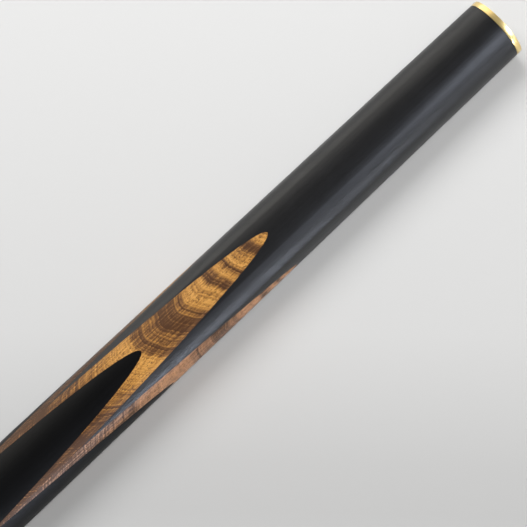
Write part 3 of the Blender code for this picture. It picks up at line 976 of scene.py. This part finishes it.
root = stud_thread.radius - stud_thread.depth
stud_start = end_ring_low.x + stud_thread.pitch
head_end = stud_low.x + STUD_HEAD_THICKNESS
head_radius = stud_high.z / cos(pi / STUD_HEAD_SIDES) * cos(pi / METAL_SEGMENTS)
stud = helix_shell(stud_start, stud_high.x, stud_thread)
cone_end(stud, stud_high.x, root - START_DROP, -1, True)
head_wall = [
    (stud_low.x, head_radius - SHANK_CHAMFER),
    (stud_low.x + SHANK_CHAMFER, head_radius),
    (head_end - SHANK_CHAMFER, head_radius),
    (head_end, head_radius - SHANK_CHAMFER),
    (head_end, root - NECK_RELIEF),
    (stud_start, root - NECK_RELIEF),
]
add_wall(stud, head_wall)
for x in (stud_low.x, stud_start, stud_high.x):
    close_end(stud, x)
finish_piece(stud, "threaded_stud", "bumper_screw", ["bumper_stud"], steel)

GROOVE_PLACES = (0.25, 0.5, 0.75)
GROOVE_WIDTH = 0.0022
GROOVE_DEPTH = 0.0002


def insert(low_x, high_x, radius, thread, mouth_x, inwards, name, node):
    """A brass insert: threaded right through, coned at its mouth, with glue grooves round it."""
    bm = helix_shell(low_x, high_x, thread, for_nut=True)
    cone_end(bm, mouth_x, thread.radius + NUT_LIFT + RIM, inwards, False)
    wall = [(low_x, radius)]
    for share in GROOVE_PLACES:
        groove = low_x + share * (high_x - low_x) - GROOVE_WIDTH / 2
        wall += [(groove, radius), (groove, radius - GROOVE_DEPTH)]
        wall += [(groove + GROOVE_WIDTH, radius - GROOVE_DEPTH), (groove + GROOVE_WIDTH, radius)]
    add_wall(bm, [*wall, (high_x, radius)])
    close_end(bm, low_x)
    close_end(bm, high_x)
    finish_piece(bm, name, "butt", [node], brass)


insert(
    insert_low.x,
    insert_high.x,
    JOINT_INSERT_RADIUS,
    joint_thread,
    insert_high.x,
    -1,
    "joint_socket",
    "butt_joint_insert",
)
insert(
    end_insert_low.x,
    end_insert_high.x,
    END_INSERT_RADIUS,
    stud_thread,
    end_insert_low.x,
    1,
    "end_socket",
    "end_insert",
)

# %% [markdown]
# ## Rubber bumper and leather tip
#
# The bumper is moulded in one piece round the stud's head, with a well rounded edge at its face, so
# the rounding is part of the outline that is spun. The leather tip is a short post under a dome.
# The dome is an arc of its own radius, and the shoulder below it is a little rounded from use.

# %% Bumper and tip
PAD_FACE_RADIUS = 0.0100
PAD_EDGE = 0.0016
PAD_LIP = 0.0003
PAD_LIP_LENGTH = 0.0010
PAD_LIP_RISE = 0.0001
PAD_FIT = 0.0001  # between the rubber and the stud's head
ARC_STEPS = 8
pocket = head_radius + PAD_FIT
hole = stud_thread.radius + PAD_FIT
seat = pad_high.z / cos(pi / METAL_SIDES) * cos(pi / WOOD_SIDES)
arc = [radians(90) * step / ARC_STEPS for step in range(1, ARC_STEPS + 1)]
pad_profile = [(0, 0), (0, PAD_FACE_RADIUS)]
pad_profile += [(PAD_EDGE * (1 - cos(turn)), PAD_FACE_RADIUS + PAD_EDGE * sin(turn)) for turn in arc]
pad_profile += [
    (pad_high.x - PAD_LIP_LENGTH, seat - PAD_LIP_RISE),
    (pad_high.x - PAD_LIP, seat),
    (pad_high.x, seat - PAD_LIP),
    (pad_high.x, hole),
    (head_end + PAD_FIT, hole),
    (head_end + PAD_FIT, pocket),
    (stud_low.x - PAD_FIT, pocket),
    (stud_low.x - PAD_FIT, 0),
]
finish_piece(
    turned(pad_profile, METAL_SEGMENTS), "rubber_bumper", "bumper", ["bumper_pad"], rubber
)

CROWN_RADIUS = 0.0106
CROWN_STEPS = 16
SHOULDER = 0.00035
TIP_GLUE = 0.0002
TIP_FOOT_RISE = 0.0001
TIP_FOOT_END = 0.0006
centre = leather_high.x - CROWN_RADIUS
edge_x = centre + sqrt(CROWN_RADIUS**2 - TIP_RADIUS**2)
tip_profile = [
    (leather_low.x - TIP_GLUE, 0),
    (leather_low.x - TIP_GLUE, TIP_RADIUS - TIP_FOOT_RISE),
    (leather_low.x + TIP_FOOT_END, TIP_RADIUS),
    (edge_x - 2 * SHOULDER, TIP_RADIUS),
    (edge_x - SHOULDER / 2, TIP_RADIUS - SHOULDER / 5),
]
for step in range(1, CROWN_STEPS):
    radius = (TIP_RADIUS - SHOULDER) * (1 - step / CROWN_STEPS)
    tip_profile.append((centre + sqrt(CROWN_RADIUS**2 - radius**2), radius))
tip_profile.append((leather_high.x, 0))
finish_piece(
    turned(tip_profile, METAL_SEGMENTS), "chalked_tip", "shaft", ["leather_tip"], leather
)

# %% [markdown]
# ## Floor, camera and light
#
# The cue lies on a wide pale floor. Both its ends touch it, and because the cue tapers, the floor
# leans a little against the cue's axis. Its pale tone falls off softly down the view. That is painted
# light: a falloff of the studio light painted into the floor's colour.

# %% Where the camera stands
CAMERA_LEAN = radians(12.4)  # towards -Y, out of straight overhead
CAMERA_ROLL = radians(43.3)  # of the cue's axis out of the picture's level
CAMERA_DISTANCE = 0.540
LENS = 108.8
LOOK_AT_X = 0.3070  # the spot on the cue's axis that the camera looks at
LOOK_BESIDE = 0.00396  # and how far beside the axis

to_camera = Vector((0, -sin(CAMERA_LEAN), cos(CAMERA_LEAN)))
beside = Vector((0, -cos(CAMERA_LEAN), -sin(CAMERA_LEAN)))
along_cue = Vector((1, 0, 0))
right = cos(CAMERA_ROLL) * along_cue + sin(CAMERA_ROLL) * beside
up = sin(CAMERA_ROLL) * along_cue - cos(CAMERA_ROLL) * beside
target = LOOK_AT_X * along_cue + LOOK_BESIDE * beside

# %% Floor
FLOOR_SIZE = 60.0
# painted light: the floor's tone falls off down the view as studio light would, painted into its colour
LIGHT_FALLOFF_HALF = 0.11
LIGHT_FALLOFF = (
    (0.0, 0.616), (0.13, 0.592), (0.20, 0.614), (0.30, 0.676), (0.40, 0.736), (0.60, 0.780),
    (1.0, 0.870),
)
WARMTH = (1.0, 0.998, 0.990)
floor_slope = (butt_radius(end_ring_low.x) - TIP_RADIUS) / (leather_high.x - end_ring_low.x)
floor_height = -butt_radius(end_ring_low.x) - floor_slope * end_ring_low.x
bm = bmesh.new()
bmesh.ops.create_grid(bm, x_segments=2, y_segments=2, size=FLOOR_SIZE / 2)
for vert in bm.verts:
    vert.co.z = floor_height + floor_slope * vert.co.x
mesh = bpy.data.meshes.new("floor")
bm.to_mesh(mesh)
bm.free()
floor = bpy.data.objects.new("floor", mesh)
bpy.context.scene.collection.objects.link(floor)
floor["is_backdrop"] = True

floor_material, tree, shader = new_material("pale_floor")
parts = add(tree, "ShaderNodeSeparateXYZ", Vector=place_of(tree)).outputs
down_view = maths(tree, "MULTIPLY", parts[1], up.y)
down_view = maths(tree, "MULTIPLY_ADD", parts[0], up.x, down_view)
share = remap(tree, down_view, up.dot(target) - LIGHT_FALLOFF_HALF, up.dot(target) + LIGHT_FALLOFF_HALF, smooth=False)
# the painted falloff of light down the view, as the floor's colour
painted_falloff = ramp(tree, share, [(at, [tone * part for part in WARMTH]) for at, tone in LIGHT_FALLOFF])
paper = noise(tree, place_of(tree), 900.0, 2.0, 0.5)
grey = blend_colours(tree, maths(tree, "MULTIPLY", paper, 0.010), painted_falloff, (0.5, 0.5, 0.5))
tree.links.new(grey, shader.inputs["Base Color"])
shader.inputs["Roughness"].default_value = 0.9
shader.inputs["Specular IOR Level"].default_value = 0.0
mesh.materials.append(floor_material)
print(f"floor is {-floor_height * 1000:.2f} mm under the axis at x = 0")

# %% Camera
camera = bpy.data.objects.new("camera", bpy.data.cameras.new("camera"))
camera.data.lens = LENS
camera.data.sensor_width = 36.0
camera.data.clip_start = 0.01
camera.data.clip_end = 200.0
facing = Matrix((right, up, to_camera)).transposed()
camera.matrix_world = Matrix.Translation(target + CAMERA_DISTANCE * to_camera) @ facing.to_4x4()
bpy.context.scene.collection.objects.link(camera)
bpy.context.scene.camera = camera
bpy.context.scene.view_settings.view_transform = "Standard"
print("camera stands at", [round(value, 3) for value in camera.matrix_world.translation])

# %% [markdown]
# The light is a studio's: two broad suns give the soft shadow on the floor, a third fills the cue
# from the side and is linked to its pieces only, and long softboxes and cards are there to be seen
# in the polish. The suns are hidden from reflections and the softboxes light nothing dull, so that
# each can be set on its own. The sky is dim where it lights things and brighter where it is
# reflected, which the Light Path node sorts out.

# %% Lights
SOFTBOX_DISTANCE = 1.5


def sun(name, strength, spread, towards):
    """A sun that stands in a direction. Its spread is its width in degrees."""
    data = bpy.data.lights.new(name, "SUN")
    data.energy = strength
    data.angle = radians(spread)
    light = bpy.data.objects.new(name, data)
    light.rotation_mode = "QUATERNION"
    light.rotation_quaternion = Vector(towards).to_track_quat("Z", "Y")
    light.visible_glossy = False
    light.visible_camera = False
    bpy.context.scene.collection.objects.link(light)
    return light


def softbox(name, x, elevation, side, length, height, radiance, colour):
    """A long panel beside the cue, seen in reflections only. Side is -1 towards -Y, 1 towards +Y."""
    data = bpy.data.lights.new(name, "AREA")
    data.shape = "RECTANGLE"
    data.size = length
    data.size_y = height
    data.energy = radiance * pi * length * height
    data.color = colour
    facing_from = Vector((0, side * cos(radians(elevation)), sin(radians(elevation))))
    light = bpy.data.objects.new(name, data)
    turn = Matrix((along_cue, facing_from.cross(along_cue), facing_from)).transposed()
    stand = x * along_cue + SOFTBOX_DISTANCE * facing_from
    light.matrix_world = Matrix.Translation(stand) @ turn.to_4x4()
    light.visible_camera = False
    light.visible_diffuse = False
    bpy.context.scene.collection.objects.link(light)


KEY_TILT = radians(29)
FILL_HEIGHT = radians(18)
sun("camera_sun", 1.44, 10, to_camera)
sun("key_sun", 1.45, 38, (0, sin(KEY_TILT), cos(KEY_TILT)))
fill = sun("fill_sun", 1.35, 40, (0, -cos(FILL_HEIGHT), sin(FILL_HEIGHT)))
lit_by_fill = bpy.data.collections.new("lit_by_fill")
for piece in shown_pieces():
    lit_by_fill.objects.link(piece)
fill.light_linking.receiver_collection = lit_by_fill

COOL, NEUTRAL, WARM = (0.87, 0.94, 1.10), (1.0, 1.0, 1.0), (1.04, 1.0, 0.93)
SOFTBOXES = (  # name, x, elevation, side, length, height, radiance, colour
    ("joint_softbox", 1.57, 40, -1, 1.8, 0.76, 10.6, COOL),
    ("grip_softbox", -0.55, -4, -1, 2.0, 0.34, 52.0, COOL),
    ("low_card", 1.35, -5, -1, 1.8, 0.30, 18.0, NEUTRAL),
    ("far_card", 0.3, 29, 1, 5.0, 1.20, 1.35, WARM),
    ("far_low_card", 0.3, -1, 1, 5.0, 0.40, 3.6, (1.02, 1.0, 0.93)),
)
for row in SOFTBOXES:
    softbox(*row)
print("lights:", len(bpy.data.lights))

SKY_SEEN, SKY_LIGHTING = 0.36, 0.14
world = bpy.data.worlds.new("studio")
bpy.context.scene.world = world
world.use_nodes = True
tree = world.node_tree
path = tree.nodes.new("ShaderNodeLightPath").outputs
strength = maths(tree, "MULTIPLY_ADD", path["Is Diffuse Ray"], SKY_LIGHTING - SKY_SEEN, SKY_SEEN)
background = tree.nodes["Background"]
background.inputs["Color"].default_value = (1.0, 1.0, 1.0, 1.0)
tree.links.new(strength, background.inputs["Strength"])
